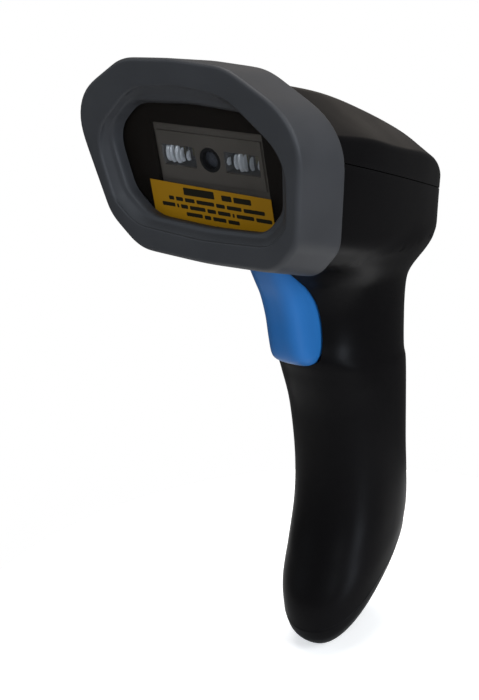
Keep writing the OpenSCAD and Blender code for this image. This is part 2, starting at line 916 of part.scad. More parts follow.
// A torsion spring wound round the pin beside the right ear, with a leg each way.
module trigger_spring() {
  coil_r = 1.9;
  turns = 4;
  start_x = 10.2;
  pitch = 0.62;
  steps = 8;
  coils = [
    for (i = [0:turns * steps])
      let(a = 360 * i / steps)
      [start_x + pitch * i / steps, coil_r * cos(a), coil_r * sin(a)]
  ];
  path = concat([[start_x, coil_r, -3.2]], coils, [[start_x + pitch * turns, coil_r, 5]]);
  color(steel)
    translate([0, pivot_y, pivot_z])
      wire(path, 0.28, [1, 0, 0]);
}

module trigger_switch_body() {
  color([0.08, 0.08, 0.09])
    difference() {
      translate([-3.2, trigger_back + 2, switch_z - 3])
        cube([6.4, switch_board_y - 0.05 - trigger_back - 2, 6]);
      translate([0, trigger_back + 0.4, switch_z])
        rod_y(1.2, 4);
    }
}

module switch_plunger() {
  color([0.85, 0.15, 0.12])
    translate([0, trigger_back + 0.3, switch_z])
      rod_y(1.12, 2.3);
}

module trigger_board() {
  color(board_green)
    translate([-9.3, switch_board_y, 84.6])
      cube([18.6, 1.2, 18.6]);
}

// ---- Battery and charging ----

module battery_cell() {
  color([0.2, 0.35, 0.6]) {
    translate([0, cell_y, cell_z])
      cylinder(r = cell_r, h = cell_len, $fn = 64);
    translate([0, cell_y, cell_z + cell_len])
      cylinder(r = 3, h = 1, $fn = 40);
  }
}

module battery_pad() {
  color([0.25, 0.25, 0.25])
    translate([-5.5, cell_y + cell_r + 0.1, cell_z + 8])
      cube([11, 1.9, 40]);
}

module battery_leads() {
  top = cell_z + cell_len + 1;
  color([0.7, 0.1, 0.1]) {
    wire([[1.2, cell_y, top + 0.7], [2.4, cell_y - 1, top + 4], [5.4, 12, 110.0], [6.4, 10.4, 115.4]], 0.6);
    wire([[-1.2, cell_y, top + 0.7], [3.4, cell_y + 1, top + 5], [8.0, 14, 110.0], [8.6, 10.8, 115.2]], 0.6);
  }
}

module usb_board() {
  color(board_green)
    difference() {
      in_foot(-7, usb_pin_s - 9, 6.1)
        cube([14, 11, 1.1]);
      for (x = [-usb_pin_x, usb_pin_x])
        in_foot(x, usb_pin_s, 5)
          cylinder(r = 0.8, h = 4, $fn = 24);
    }
}

module usb_port_shell() {
  color(steel)
    in_foot(0, port_s, 0.6)
      difference() {
        translate([-3.75, -1.35, 0])
          cube([7.5, 2.7, 5.4]);
        translate([-3.4, -1.0, -1])
          cube([6.8, 2.0, 5.6]);
      }
}

module usb_port_tongue() {
  color([0.1, 0.1, 0.1])
    in_foot(-2.4, port_s - 0.3, 1.2)
      cube([4.8, 0.6, 3.35]);
}

module charge_leads() {
  color([0.1, 0.1, 0.1]) {
    wire([[-10.9, 14.6, 42], [-10.9, 14.6, 93], [-11.4, 13, 106], [-9.4, 11, 119.6]], 0.5);
    wire([[-10.9, 17.4, 42], [-10.9, 17.4, 93], [-11.4, 16, 106], [-9.4, 14.4, 118.4]], 0.5);
  }
}

// ---- Screws ----

module cover_screws() {
  color(steel)
    for (x = [-cover_screw_x, cover_screw_x])
      in_head(x, cover_screw_d, -24.02)
        screw(cover_screw_r, 28, 2.1, 1.4);
}

module frame_screws() {
  color(steel)
    for (x = [-frame_screw_x, frame_screw_x])
      in_face(x, frame_depth + 1.05, frame_screw_h)
        rotate([-90, 0, 0])
          screw(small_screw_r, 7, 1.55, 1);
}

module engine_screws() {
  color(steel)
    for (x = [-engine_screw_x, engine_screw_x])
      in_face(x, frame_depth + frame_t + 1.75, lens_level)
        rotate([90, 0, 0])
          screw(small_screw_r, 3.2, 1.5, 0.9);
}

module board_screws() {
  color(steel)
    for (p = board_posts)
      in_head(p.x, p.y, board_top - board_t - 0.02)
        screw(small_screw_r, 6, 1.5, 0.9);
}

module cap_screws() {
  color(steel)
    for (p = foot_screws)
      in_foot(0, p.x, 1.58)
        screw(small_screw_r, p.y + 2.4, 1.8, 1.1);
}

front_bezel();
window_panel();
caution_strip();
front_frame();
main_housing();
top_cover();
bottom_cap();
status_light_pipe();
engine_chassis();
lens_barrel();
engine_lens();
led_lens_left();
led_lens_right();
led_emitters();
image_sensor();
engine_board();
engine_ribbon();
main_board();
processor_chips();
radio_module();
ribbon_socket();
buzzer();
trigger();
trigger_pivot_pin();
trigger_spring();
switch_plunger();
trigger_switch_body();
trigger_board();
battery_cell();
battery_pad();
battery_leads();
battery_plug();
battery_socket();
usb_board();
usb_port_shell();
usb_port_tongue();
charge_leads();
cover_screws();
frame_screws();
engine_screws();
board_screws();
cap_screws();
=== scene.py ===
"""Cordless pistol-grip barcode scanner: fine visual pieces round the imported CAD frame."""
import json
import math

import bmesh
import bpy
import numpy as np
from mathutils import Matrix, Vector
from mathutils.bvhtree import BVHTree


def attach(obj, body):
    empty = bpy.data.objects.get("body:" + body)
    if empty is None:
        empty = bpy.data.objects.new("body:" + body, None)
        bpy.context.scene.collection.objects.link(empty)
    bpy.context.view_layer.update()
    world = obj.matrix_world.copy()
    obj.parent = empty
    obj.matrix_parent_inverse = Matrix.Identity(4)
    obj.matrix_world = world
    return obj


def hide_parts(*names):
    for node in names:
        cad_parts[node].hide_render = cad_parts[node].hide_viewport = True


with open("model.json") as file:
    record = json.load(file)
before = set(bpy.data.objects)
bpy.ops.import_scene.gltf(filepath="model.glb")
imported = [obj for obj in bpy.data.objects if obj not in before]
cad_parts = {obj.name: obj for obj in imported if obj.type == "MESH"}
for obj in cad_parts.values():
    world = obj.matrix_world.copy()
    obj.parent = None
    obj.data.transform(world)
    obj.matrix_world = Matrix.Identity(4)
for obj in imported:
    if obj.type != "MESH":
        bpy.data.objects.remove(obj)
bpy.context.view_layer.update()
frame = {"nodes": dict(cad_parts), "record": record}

MM = 0.001

# ---- Driving dimensions, in millimetres and degrees, mostly as in the CAD source ----

FACE_Y, FACE_Z = -44.2, 154.9
FACE_LEAN, HEAD_FALL, BEZEL_FALL = math.radians(8), math.radians(20), math.radians(17)
SHEAR = math.tan(BEZEL_FALL + FACE_LEAN)
BEZEL_DEPTH, SKIRT, WALL = 14.5, 1.5, 2.2
PARTING_H, PARTING_GAP = -2.4, 0.22
WINDOW_DEPTH, WINDOW_T, WINDOW_REACH = 5.9, 1.4, 2.2
FRAME_DEPTH = WINDOW_DEPTH + WINDOW_T + 0.1
FRAME_T = 2.2
RIM_DEPTH = FRAME_DEPTH + FRAME_T + 0.1
CLEAR_W, CLEAR_H, CLEAR_LEVEL = 33.6, 20.0, -13.1
STRIP_TOP, STRIP_TILT = -17.55, -0.019
STRIP_OUTLINE = [
    (-18.4, -17.2), (18.2, -17.9), (18.2, -25.8), (16.6, -27.4), (0, -28.2), (-16.6, -27.4), (-18.4, -25.8),
]
FILM_T, FILM_GAP, INK_T, INK_SUNK, BAR_GAP = 0.1, 0.02, 0.02, 0.005, 0.6
# Dark bars on the strip: distance below its top, height, first x, then the length of each bar.
BAR_ROWS = [
    (0.8, 1.9, -8.2, (9.4,)),
    (1.1, 1.4, 3.4, (3.0, 5.2)),
    (3.5, 1.0, -13.2, (1.6, 2.2, 3.0, 5.4, 2.6, 4.4, 6.2)),
    (5.3, 1.0, -15.6, (4.0, 0.6, 2.2, 4.8, 2.6, 3.8, 0.6, 5.2, 4.6)),
    (7.1, 1.0, -8.4, (5.0, 2.0, 4.0, 3.4)),
]
ENGINE_FRONT, LENS_LEVEL = 7.8, -11.2
# Trigger: its pivot pin, the hub and ears round the pin, and the slot that it stands in.
PIVOT = (0.0, -12.0, 119.0)
PIN_R, PIN_GAP = 1.25, 0.03
HUB_R, HUB_HALF, HUB_EDGE = 3.6, 5.8, 0.4
EAR_X, EAR_T, EAR_R, EAR_DROP = 8.2, 3, 3.6, 5.2
TRIGGER_HALF, TRIGGER_GAP, TRIGGER_BACK = 6.0, 0.5, -1.4
SLOT_FRONT, SLOT_LOW, SLOT_HIGH, SLOT_CORNER_R = -21.8, 84.7, 120.7, 2.6
# Rails that hold the switch's board by its side edges.
SWITCH_BOARD_Y, SWITCH_BOARD_T = 3.4, 1.2
RAIL_X, RAIL_W, RAIL_T, RAIL_LOW, RAIL_LEN, RAIL_GAP = 8.5, 2.7, 1.3, 85, 18, 0.1
# Fasteners: radii, then where they stand in the head's, the face's and the foot's frames.
COVER_SCREW_R, COVER_BOSS_R, COVER_WELL_R = 1.1, 2.9, 2.3
SMALL_SCREW_R, FRAME_WELL_R, FOOT_WELL_R = 0.8, 1.65, 2
THREAD_GAP, SHANK_GAP = 0.03, 0.1
COVER_SCREW_X, COVER_SCREW_D = 16, 36
BOARD_TOP, BOARD_POST_R = -8, 2.2
BOARD_POSTS = [(14, 46.5), (-14, 46.5), (9.6, 71.5), (-9.6, 71.5)]
LIGHT_D, LIGHT_R = 66, 1.75
FRAME_SCREW_X, FRAME_SCREW_H, FRAME_BOSS_R = 23.6, -24.5, 3
ENGINE_SCREW_X = 18.6
FOOT_SCREWS = [(9, 8.3), (28, 5.4)]
FOOT_BOSS_R, FOOT_STAND_R = 2.5, 2.4
# Ribs that join the foot's screw bosses to the wall: corner and size in the foot's frame.
FOOT_RIBS = [((-1, 2.6, 12.3), (2, 5, 3.3)), ((-12.4, 27, 8.6), (24.8, 2, 4.1))]
PORT_S, PORT_W, PORT_H = 17, 8, 3.2
USB_PIN_X, USB_PIN_S, USB_PIN_R, USB_STAND_R = 5.6, 22, 0.7, 1.5
# Bright white ribs in the engine's two light pockets, seen through the lenses: painted highlights that
# stand in for the lenses' glints. Left edge, width and half height.
GLINT_RIBS = [
    (-14.2, 1.5, 1.9), (-12.5, 0.6, 2.2), (-11.2, 1.1, 2.2), (-9.4, 0.4, 1.7), (-7.4, 0.3, 1.2),
    (4.9, 0.3, 0.9), (6.9, 0.5, 1.8), (7.9, 1.0, 2.2), (9.6, 0.4, 2.0), (11.6, 0.3, 1.6), (13.9, 0.4, 1.2),
]
# How far the ribs' backs lie behind the engine's front, and their least and added bulge.
RIB_BACK, RIB_LEAST, RIB_BULGE = 1.4, 0.1, 1.3

# Half outlines of the bumper, from bottom centre to top centre: [x, h, corner radius].
BEZEL_HALF = [
    (0, -34.2, 0), (21.0, -33.4, 9), (28.7, -25.4, 10), (34.6, 3.6, 14), (15.3, 15.2, 14), (0, 16.0, 0),
]
SKIRT_HALF = [
    (0, -34.8, 0), (21.6, -34.0, 9), (29.4, -25.8, 10), (35.4, 3.9, 14), (15.9, 16.4, 14), (0, 17.2, 0),
]
MOUTH_HALF = [
    (0, -28.4, 0), (20.5, -27.2, 9), (26.2, -21.5, 7), (28.9, -4.5, 12), (14.0, 8.4, 14), (0, 9.8, 0),
]
LIP_HALF = [
    (0, -24.4, 0), (17.5, -23.6, 8), (23.4, -17.2, 7), (25.6, -2.6, 9), (17.0, 4.8, 9), (0, 5.8, 0),
]

# Head sections: bottom centre y, z, top centre y, z, then four corners as half-width and level.
HEAD = [
    (-33.6, 120.8, -40.2, 167.6, 19.6, 0.020, 27.2, 0.175, 30.8, 0.735, 15.2, 0.982),
    (-24.4, 117.4, -30.9, 164.3, 19.4, 0.020, 27.0, 0.175, 30.8, 0.740, 15.2, 0.982),
    (-12.0, 113.2, -11.0, 158.0, 18.4, 0.020, 26.0, 0.180, 29.8, 0.757, 15.2, 0.982),
    (2.0, 109.2, 6.0, 150.6, 17.2, 0.025, 24.0, 0.190, 26.6, 0.775, 14.6, 0.982),
    (16.0, 106.0, 23.0, 141.8, 15.4, 0.035, 21.0, 0.210, 22.2, 0.835, 13.8, 0.982),
    (26.5, 104.0, 34.4, 134.4, 13.6, 0.045, 18.2, 0.230, 18.2, 0.890, 12.6, 0.982),
    (33.8, 103.8, 40.8, 129.4, 12.2, 0.055, 15.8, 0.250, 15.2, 0.880, 10.8, 0.980),
    (39.2, 105.2, 43.9, 126.2, 10.2, 0.070, 13.2, 0.270, 12.2, 0.850, 8.4, 0.970),
    (42.6, 108.2, 45.2, 123.0, 7.2, 0.090, 9.6, 0.300, 8.6, 0.780, 5.6, 0.940),
    (44.6, 111.8, 45.6, 119.0, 3.4, 0.200, 4.6, 0.380, 4.0, 0.700, 2.6, 0.850),
]
# Radii of the head's corners. The shoulder's, 2, is sharper than the CAD's.
HEAD_RADII = (8, 9, 2, 5)
# How far the fillet between head and grip reaches, and how far inside the skin the fittings end.
JOINT_FILLET, CORE_INSET = 5.0, 0.6
# Height of the slab that cuts the top cover off at the parting plane.
SLAB_H = 100

# Grip, foot and trigger sections: front y, z, back y, z, half-width, power of the oval.
GRIP = [
    (-20.0, 119.0, 39.4, 110.5, 19.6, 2.3), (-15.0, 111.6, 35.8, 104.0, 17.2, 2.3),
    (-10.0, 106.6, 33.8, 98.6, 15.6, 2.3), (-6.6, 101.6, 32.9, 92.6, 14.8, 2.3),
    (-5.1, 96.0, 32.6, 87.0, 14.4, 2.3), (-5.0, 91.0, 32.4, 82.6, 14.3, 2.3),
    (-5.8, 86.6, 32.3, 79.4, 14.5, 2.3), (-5.2, 83.6, 32.2, 77.4, 15.0, 2.3),
    (-3.6, 79.0, 32.0, 74.0, 15.0, 2.3), (-0.8, 68.0, 31.6, 66.0, 14.6, 2.3),
    (0.1, 52.0, 31.3, 55.0, 14.2, 2.3), (-1.5, 38.0, 31.5, 48.0, 14.2, 2.3),
    (-5.8, 25.0, 32.1, 42.6, 14.3, 2.3), (-9.6, 14.6, 32.1, 38.4, 14.3, 2.3),
    (-9.9, 7.2, 31.2, 34.6, 13.8, 2.3),
]
FOOT = [
    (-9.9, 7.2, 31.2, 34.6, 13.8, 2.3), (-8.8, 3.8, 29.9, 31.6, 12.9, 2.3),
    (-6.2, 1.3, 26.8, 27.6, 10.8, 2.3), (-2.6, 0.2, 21.4, 22.8, 7.4, 2.3),
]
TRIGGER = [
    (-20.6, 118.0, -6.0, 119.0, 6.0, 3.2), (-19.6, 114.6, -3.0, 113.0, 6.0, 3.2),
    (-17.6, 110.0, 1.0, 106.0, 6.0, 3.2), (-15.3, 105.0, 2.0, 101.0, 6.0, 3.2),
    (-13.7, 99.0, 2.0, 96.0, 6.0, 3.2), (-12.9, 93.0, 2.0, 92.0, 6.0, 3.2),
    (-12.0, 88.6, 1.0, 88.8, 6.0, 3.2), (-10.8, 86.6, 0.0, 87.0, 5.7, 3.2),
    (-8.6, 85.2, -2.0, 85.4, 5.0, 3.2),
]

# Radii of the bumper's soft front edge and of the funnel's mouth, then the funnel's steps: how far
# from the mouth's outline to the lip's, and how deep.
FRONT_EDGE_R, MOUTH_EDGE_R = 1.3, 0.7
FUNNEL_STEPS = [
    (0.16, 0.75), (0.36, 1.35), (0.52, 1.95), (0.60, 2.20), (0.68, 2.36),
    (0.78, 2.50), (0.86, 2.70), (0.93, 3.10), (0.97, 3.60), (1.0, 4.6),
]
# Tabs under the bumper that reach back into the head: left edge, then depth and level, then size.
TAB_X, TAB_D, TAB_H = 7.6, 26, -29.7
TAB_SIZE = (4.6, 11.5, 1.0)

# Camera, worked out from the photograph's perspective: place in millimetres, and its axes.
CAMERA_AT = (227.472, -296.271, 229.395)
CAMERA_RIGHT = (0.77508614, 0.62892731, -0.06076112)
CAMERA_DOWN = (0.18037218, -0.31239556, -0.93267084)
CAMERA_FORWARD = (-0.60556366, 0.71194063, -0.35557446)
CAMERA_LENS = 78.7335

# Studio light: the floor's radius and how far it glows to the camera, how bright the surroundings
# are as a light, then each soft lamp: name, place in metres, side length, power and colour.
FLOOR_R, FLOOR_GLOW = 0.11, 0.45
WORLD_LIGHT = 0.16
LAMP_TARGET = (0, 0, 0.09)
LAMPS = [
    ("right_key", (0.90, 0.05, 0.60), 0.45, 5.5, (0.95, 0.98, 1.0)),
    ("top", (-0.10, 0.10, 1.20), 0.70, 13.0, (1.0, 0.97, 0.94)),
    ("left_fill", (-0.85, -0.75, 0.45), 0.60, 2.5, (0.80, 0.90, 1.0)),
    ("front_cool", (0.50, -0.90, 0.50), 0.35, 5.0, (0.84, 0.92, 1.0)),
    ("back_warm", (-0.45, 1.10, 0.42), 0.60, 0.45, (1.0, 0.88, 0.76)),
    ("right_low", (0.95, -0.32, 0.06), 0.30, 5.5, (0.80, 0.88, 1.0)),
]


# ---- Curves and rings ----

def along(rows, s):
    """A smooth curve through the rows of a table, at row position s."""
    rows = np.asarray(rows, float)
    last = len(rows) - 1
    i = min(int(math.floor(s)), last - 1)
    t = s - i
    p0, p1, p2, p3 = rows[max(i - 1, 0)], rows[i], rows[i + 1], rows[min(i + 2, last)]
    return 0.5 * (2 * p1 + (p2 - p0) * t + (2 * p0 - 5 * p1 + 4 * p2 - p3) * t * t
                  + (3 * p1 - p0 - 3 * p2 + p3) * t ** 3)


def stations(rows, per_row, first=0, last=None):
    """Rows along the curve through a table, from its last row back to its first."""
    last = len(rows) - 1 if last is None else last
    return [along(rows, s) for s in np.linspace(last, first, (last - first) * per_row + 1)]


def unit(v):
    return v / np.linalg.norm(v)


def rounded(p, q, s, radius, steps):
    """Points that round the corner q between p and s."""
    a, b = unit(p - q), unit(s - q)
    half = math.acos(max(-1.0, min(1.0, float(a @ b)))) / 2
    reach = min(radius / math.tan(half), 0.47 * np.linalg.norm(p - q), 0.47 * np.linalg.norm(s - q))
    centre = q + unit(a + b) * (reach / math.cos(half))
    start, end = q + a * reach - centre, q + b * reach - centre
    first = math.atan2(start[1], start[0])
    sweep = (math.atan2(end[1], end[0]) - first + 3 * math.pi) % (2 * math.pi) - math.pi
    r = np.linalg.norm(start)
    angles = first + sweep * np.arange(steps + 1) / steps
    return centre + r * np.stack([np.cos(angles), np.sin(angles)], 1)


def whole_outline(corners, arc_steps=8, edge_steps=6, soften=0):
    """A closed outline from a half one: arcs at the corners, and points along the straights."""
    xy = np.array([c[:2] for c in corners], float)
    groups = [xy[:1]]
    for k in range(1, len(corners) - 1):
        groups.append(rounded(xy[k - 1], xy[k], xy[k + 1], corners[k][2], arc_steps))
    groups.append(xy[-1:])
    half = [groups[0][0]]
    for before, after in zip(groups, groups[1:]):
        for t in np.arange(1, edge_steps) / edge_steps:
            half.append(before[-1] * (1 - t) + after[0] * t)
        half.extend(after)
    half = np.array(half)
    mirrored = half[-2:0:-1] * [-1, 1]
    ring = np.concatenate([half, mirrored])
    for _ in range(soften):
        ring = 0.25 * np.roll(ring, 1, 0) + 0.5 * ring + 0.25 * np.roll(ring, -1, 0)
    return ring


def even(ring, count):
    """The closed ring again, from the same start, with count points evenly spaced."""
    closed = np.concatenate([ring, ring[:1]])
    length = np.concatenate([[0], np.cumsum(np.linalg.norm(np.diff(closed, axis=0), axis=1))])
    at = np.linspace(0, length[-1], count + 1)[:-1]
    return np.stack([np.interp(at, length, closed[:, k]) for k in range(ring.shape[1])], 1)


def drawn_in(ring, inset):
    """The outline drawn in by inset on every side."""
    w, low, high = ring[:, 0].max(), ring[:, 1].min(), ring[:, 1].max()
    x = ring[:, 0] * (w - inset) / w
    y = low + inset + (ring[:, 1] - low) * (high - low - 2 * inset) / (high - low)
    return np.stack([x, y], 1)


def pulled_in(ring, inset):
    """The outline moved in by inset, square to itself."""
    ahead, behind = np.roll(ring, -1, 0), np.roll(ring, 1, 0)
    way = ahead - behind
    normal = np.stack([way[:, 1], -way[:, 0]], 1)
    normal /= np.linalg.norm(normal, axis=1)[:, None]
    return ring - normal * inset


def face_point(x, depth, h):
    c, s = math.cos(FACE_LEAN), math.sin(FACE_LEAN)
    return np.stack(np.broadcast_arrays(x, FACE_Y + depth * c - h * s, FACE_Z + depth * s + h * c), -1)


def head_point(x, d, h):
    c, s = math.cos(HEAD_FALL), math.sin(HEAD_FALL)
    return np.stack(np.broadcast_arrays(x, FACE_Y + d * c + h * s, FACE_Z - d * s + h * c), -1)


def foot_point(x, s, h):
    low, high = FOOT[-1][0:2], FOOT[-1][2:4]
    slope = math.atan2(high[1] - low[1], high[0] - low[0])
    c, t = math.cos(slope), math.sin(slope)
    return np.stack(np.broadcast_arrays(x, low[0] + s * c - h * t, low[1] + s * t + h * c), -1)


def plain_point(x, y, z):
    return np.stack(np.broadcast_arrays(x, y, z), -1)


def face_ring(ring, depth):
    """Points of an outline placed behind the bumper's face, sliding down with the head's fall."""
    return face_point(ring[:, 0], np.full(len(ring), depth), ring[:, 1] - SHEAR * depth)


def section_ring(ring, a, b, shift=0.0):
    u = unit(b - a)
    y = a[0] + u[0] * ring[:, 1] + u[1] * shift
    z = a[1] + u[1] * ring[:, 1] - u[0] * shift
    return np.stack([ring[:, 0], y, z], 1)


def head_ring(row, inset=0.0, shift=0.0, arc_steps=8, edge_steps=6):
    a, b = row[0:2], row[2:4]
    h = np.linalg.norm(b - a)
    corners = [(0, 0, 0)]
    corners += [(row[4 + 2 * k], row[5 + 2 * k] * h, HEAD_RADII[k]) for k in range(4)]
    corners += [(0, h, 0)]
    ring = whole_outline(corners, arc_steps, edge_steps)
    return section_ring(drawn_in(ring, inset), a, b, shift)


def grip_ring(row, inset=0.0, shift=0.0, points=96):
    a, b = row[0:2], row[2:4]
    h = np.linalg.norm(b - a) / 2
    t = 2 * math.pi * np.arange(points) / points - math.pi / 2
    c, s = np.cos(t), np.sin(t)
    n = 2 / row[5]
    x = (row[4] - inset) * np.sign(c) * np.abs(c) ** n
    v = h + (h - inset) * np.sign(s) * np.abs(s) ** n
    ring = even(np.stack([x, v], 1), points)
    return section_ring(ring, a, b, shift)


# ---- Meshes ----

def mesh_object(name, points_mm, faces):
    """A new object from points in millimetres, with its faces pointing outwards."""
    mesh = bpy.data.meshes.new(name)
    mesh.from_pydata([tuple(p) for p in np.asarray(points_mm) * MM], [], faces)
    bm = bmesh.new()
    bm.from_mesh(mesh)
    bmesh.ops.recalc_face_normals(bm, faces=bm.faces)
    bm.to_mesh(mesh)
    bm.free()
    obj = bpy.data.objects.new(name, mesh)
    bpy.context.scene.collection.objects.link(obj)
    return obj


def grid_faces(rows, count, looped):
    faces = []
    for k in range(rows if looped else rows - 1):
        m = (k + 1) % rows
        for i in range(count):
            j = (i + 1) % count
            faces.append((k * count + i, k * count + j, m * count + j, m * count + i))
    return faces


def loft(name, rings, looped=False):
    """A closed skin through rings: with flat ends, or joined end to end."""
    count = len(rings[0])
    faces = grid_faces(len(rings), count, looped)
    if not looped:
        faces.append(tuple(range(count - 1, -1, -1)))
        faces.append(tuple((len(rings) - 1) * count + i for i in range(count)))
    return mesh_object(name, np.concatenate(rings), faces)


def box(name, corner, size, place=None):
    """A closed box from a corner and a size in millimetres, placed by a function of x, y, z."""
    x, y, z = (np.array([c, c + s]) for c, s in zip(corner, size))
    points = np.array([(a, b, c) for c in z for b in y for a in x], float)
    if place:
        points = place(points[:, 0], points[:, 1], points[:, 2])
    faces = [(0, 2, 3, 1), (4, 5, 7, 6), (0, 1, 5, 4), (2, 6, 7, 3), (0, 4, 6, 2), (1, 3, 7, 5)]
    return mesh_object(name, points, faces)


def turned(name, profile, centre, axis, steps=64):
    """A closed solid turned about an axis. The profile is [distance along the axis, radius]."""
    axis = Vector(axis).normalized()
    basis = axis.to_track_quat("Z", "Y").to_matrix()
    angles = 2 * math.pi * np.arange(steps) / steps
    rings = []
    for along_axis, radius in profile:
        ring = [basis @ Vector((radius * math.cos(a), radius * math.sin(a), along_axis)) for a in angles]
        rings.append(np.array([tuple(p + Vector(centre)) for p in ring]))
    return loft(name, rings)


def peg(place, start, end, radius, steps=40):
    """A round peg between two points of a frame."""
    a, b = (place(*np.array(point, float)) for point in (start, end))
    length = float(np.linalg.norm(b - a))
    return turned("peg", [(0, radius), (length, radius)], a, b - a, steps)


def join(name, objects):
    """One object from several, made by copying their meshes together."""
    bm = bmesh.new()
    for obj in objects:
        bm.from_mesh(obj.data)
        bpy.data.objects.remove(obj)
    mesh = bpy.data.meshes.new(name)
    bm.to_mesh(mesh)
    bm.free()
    whole = bpy.data.objects.new(name, mesh)
    bpy.context.scene.collection.objects.link(whole)
    return whole


def apply_modifiers(obj):
    graph = bpy.context.evaluated_depsgraph_get()
    mesh = bpy.data.meshes.new_from_object(obj.evaluated_get(graph))
    obj.modifiers.clear()
    obj.data = mesh


def boolean(obj, operation, cutter, keep=False):
    """Adds, cuts or keeps what the cutter covers. The cutter is removed unless it is kept."""
    mod = obj.modifiers.new("boolean", "BOOLEAN")
    mod.operation = operation
    mod.solver = "MANIFOLD"
    mod.object = cutter
    apply_modifiers(obj)
    if not keep:
        bpy.data.objects.remove(cutter)
    return obj


def cut(obj, cutters):
    for cutter in cutters:
        boolean(obj, "DIFFERENCE", cutter)


def add(obj, extras):
    for extra in extras:
        boolean(obj, "UNION", extra)


def smooth(obj, angle=35):
    """Smooth shading, with edges sharper than angle left crisp."""
    obj.data.polygons.foreach_set("use_smooth", [True] * len(obj.data.polygons))
    bm = bmesh.new()
    bm.from_mesh(obj.data)
    limit = math.radians(angle)
    for edge in bm.edges:
        edge.smooth = edge.calc_face_angle(0.0) < limit
    bm.to_mesh(obj.data)
    bm.free()


def blend_value(p, trees, k):
    """Value and slope at p of the smooth union of two surfaces, which fills their crease."""
    parts = []
    for tree in trees:
        place, normal, _, distance = tree.find_nearest(p)
        side = 1 if (p - place).dot(normal) >= 0 else -1
        if distance > 1e-7:
            normal = (p - place) / distance * side
        parts.append((distance * side, normal))
    (da, na), (db, nb) = parts
    if abs(da - db) >= k:
        return (da, na) if da < db else (db, nb)
    share = 0.5 + 0.5 * (db - da) / k
    bulge = (k - abs(da - db)) ** 2 / (4 * k)
    return min(da, db) - bulge, na * share + nb * (1 - share)


def near_both(bm, trees, k):
    """The vertices close to both surfaces, round their crease."""
    return [v for v in bm.verts if max(tree.find_nearest(v.co)[3] for tree in trees) < 1.15 * k]


def refine_crease(bm, trees, k):
    """Merges slivers round the crease and splits long edges there, so that it can be rounded."""
    bmesh.ops.remove_doubles(bm, verts=near_both(bm, trees, k), dist=0.45 * MM)
    for _ in range(2):
        inside = set(near_both(bm, trees, k))
        edges = [e for e in bm.edges if e.verts[0] in inside and e.verts[1] in inside
                 and e.calc_length() > 1.3 * MM]
        bmesh.ops.subdivide_edges(bm, edges=edges, cuts=1)
        inside = set(near_both(bm, trees, k))
        faces = [f for f in bm.faces if len(f.verts) != 3 and any(v in inside for v in f.verts)]
        bmesh.ops.triangulate(bm, faces=faces)


def soften_joint(obj, trees, reach_mm, turns=6):
    """Fills the crease where two surfaces meet with a smooth fillet."""
    k = reach_mm * MM
    bm = bmesh.new()
    bm.from_mesh(obj.data)
    refine_crease(bm, trees, k)
    moving = near_both(bm, trees, k)
    for turn in range(turns):
        if turn < turns - 1:
            bmesh.ops.smooth_vert(
                bm, verts=moving, factor=0.5, use_axis_x=True, use_axis_y=True, use_axis_z=True)
        for v in moving:
            for _ in range(3):
                value, slope = blend_value(v.co, trees, k)
                if abs(value) < 2e-6 or slope.length < 0.2:
                    break
                v.co -= slope * (value / slope.length_squared)
    bm.to_mesh(obj.data)
    bm.free()


# ---- Materials ----

class Nodes:
    """A short way to build a material's node tree."""

    def __init__(self, name):
        self.material = bpy.data.materials.new(name)
        self.material.use_nodes = True
        self.tree = self.material.node_tree
        self.shader = self.tree.nodes["Principled BSDF"]
        coordinates = self.tree.nodes.new("ShaderNodeTexCoord")
        self.place = coordinates.outputs["Object"]

    def node(self, kind, inputs=None, **settings):
        node = self.tree.nodes.new(kind)
        for key, value in settings.items():
            setattr(node, key, value)
        for key, value in (inputs or {}).items():
            self.feed(node.inputs[key], value)
        return node

    def feed(self, socket, value):
        if isinstance(value, bpy.types.NodeSocket):
            self.tree.links.new(value, socket)
        else:
            socket.default_value = value

    def noise(self, scale, detail=2.0, rough=0.5, stretch=None):
        place = self.place
        if stretch:
            place = self.node("ShaderNodeMapping", {"Vector": place, "Scale": stretch}).outputs[0]
        return self.node("ShaderNodeTexNoise", {
            "Vector": place, "Scale": scale, "Detail": detail, "Roughness": rough}).outputs[0]

    def spread(self, value, low, high, from_low=0.3, from_high=0.7):
        return self.node("ShaderNodeMapRange", {
            "Value": value, "From Min": from_low, "From Max": from_high,
            "To Min": low, "To Max": high}).outputs[0]

    def tones(self, value, first, second):
        """A mix of two colours, on the mix node's colour sockets (6 and 7 in, 2 out)."""
        node = self.node("ShaderNodeMix", {"Factor": value}, data_type="RGBA")
        for k, colour in ((6, first), (7, second)):
            self.feed(node.inputs[k], colour if isinstance(colour, bpy.types.NodeSocket) else (*colour, 1))
        return node.outputs[2]

    def bump(self, height, strength, distance_mm):
        return self.node("ShaderNodeBump", {
            "Height": height, "Strength": strength, "Distance": distance_mm * MM}).outputs[0]

    def set(self, **values):
        for key, value in values.items():
            self.feed(self.shader.inputs[key.replace("_", " ")], value)


# The pointiness at which an edge starts to look worn, and at which it is fully worn.
WORN_FROM, WORN_TO = 0.52, 0.60


def shade(colour, factor):
    return tuple(c * factor for c in colour)


